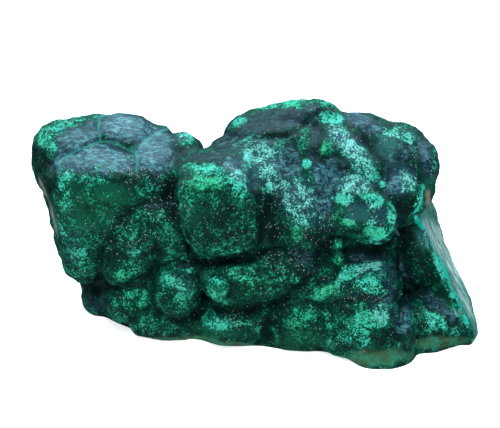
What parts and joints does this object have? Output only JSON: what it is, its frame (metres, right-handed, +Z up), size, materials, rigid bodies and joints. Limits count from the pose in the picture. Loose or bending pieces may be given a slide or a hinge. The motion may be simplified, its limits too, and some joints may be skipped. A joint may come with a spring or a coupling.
{
  "type": "malachite specimen",
  "caption": "Broken lump of rounded, lobed green malachite that rests on a flat base, for display.",
  "frame": {"origin": "middle of the bounding box in plan, on the flat base", "axes": "+Z up from the base; +X along the lump, towards its high end with the broken fin; -Y towards the lobed front"},
  "size_m": [0.1134, 0.0464, 0.0562],
  "materials": {
    "malachite": "wet-looking gloss over velvety green lobes"
  },
  "bodies": {
    "root": {"malachite_specimen": "malachite"}
  },
  "joints": []
}
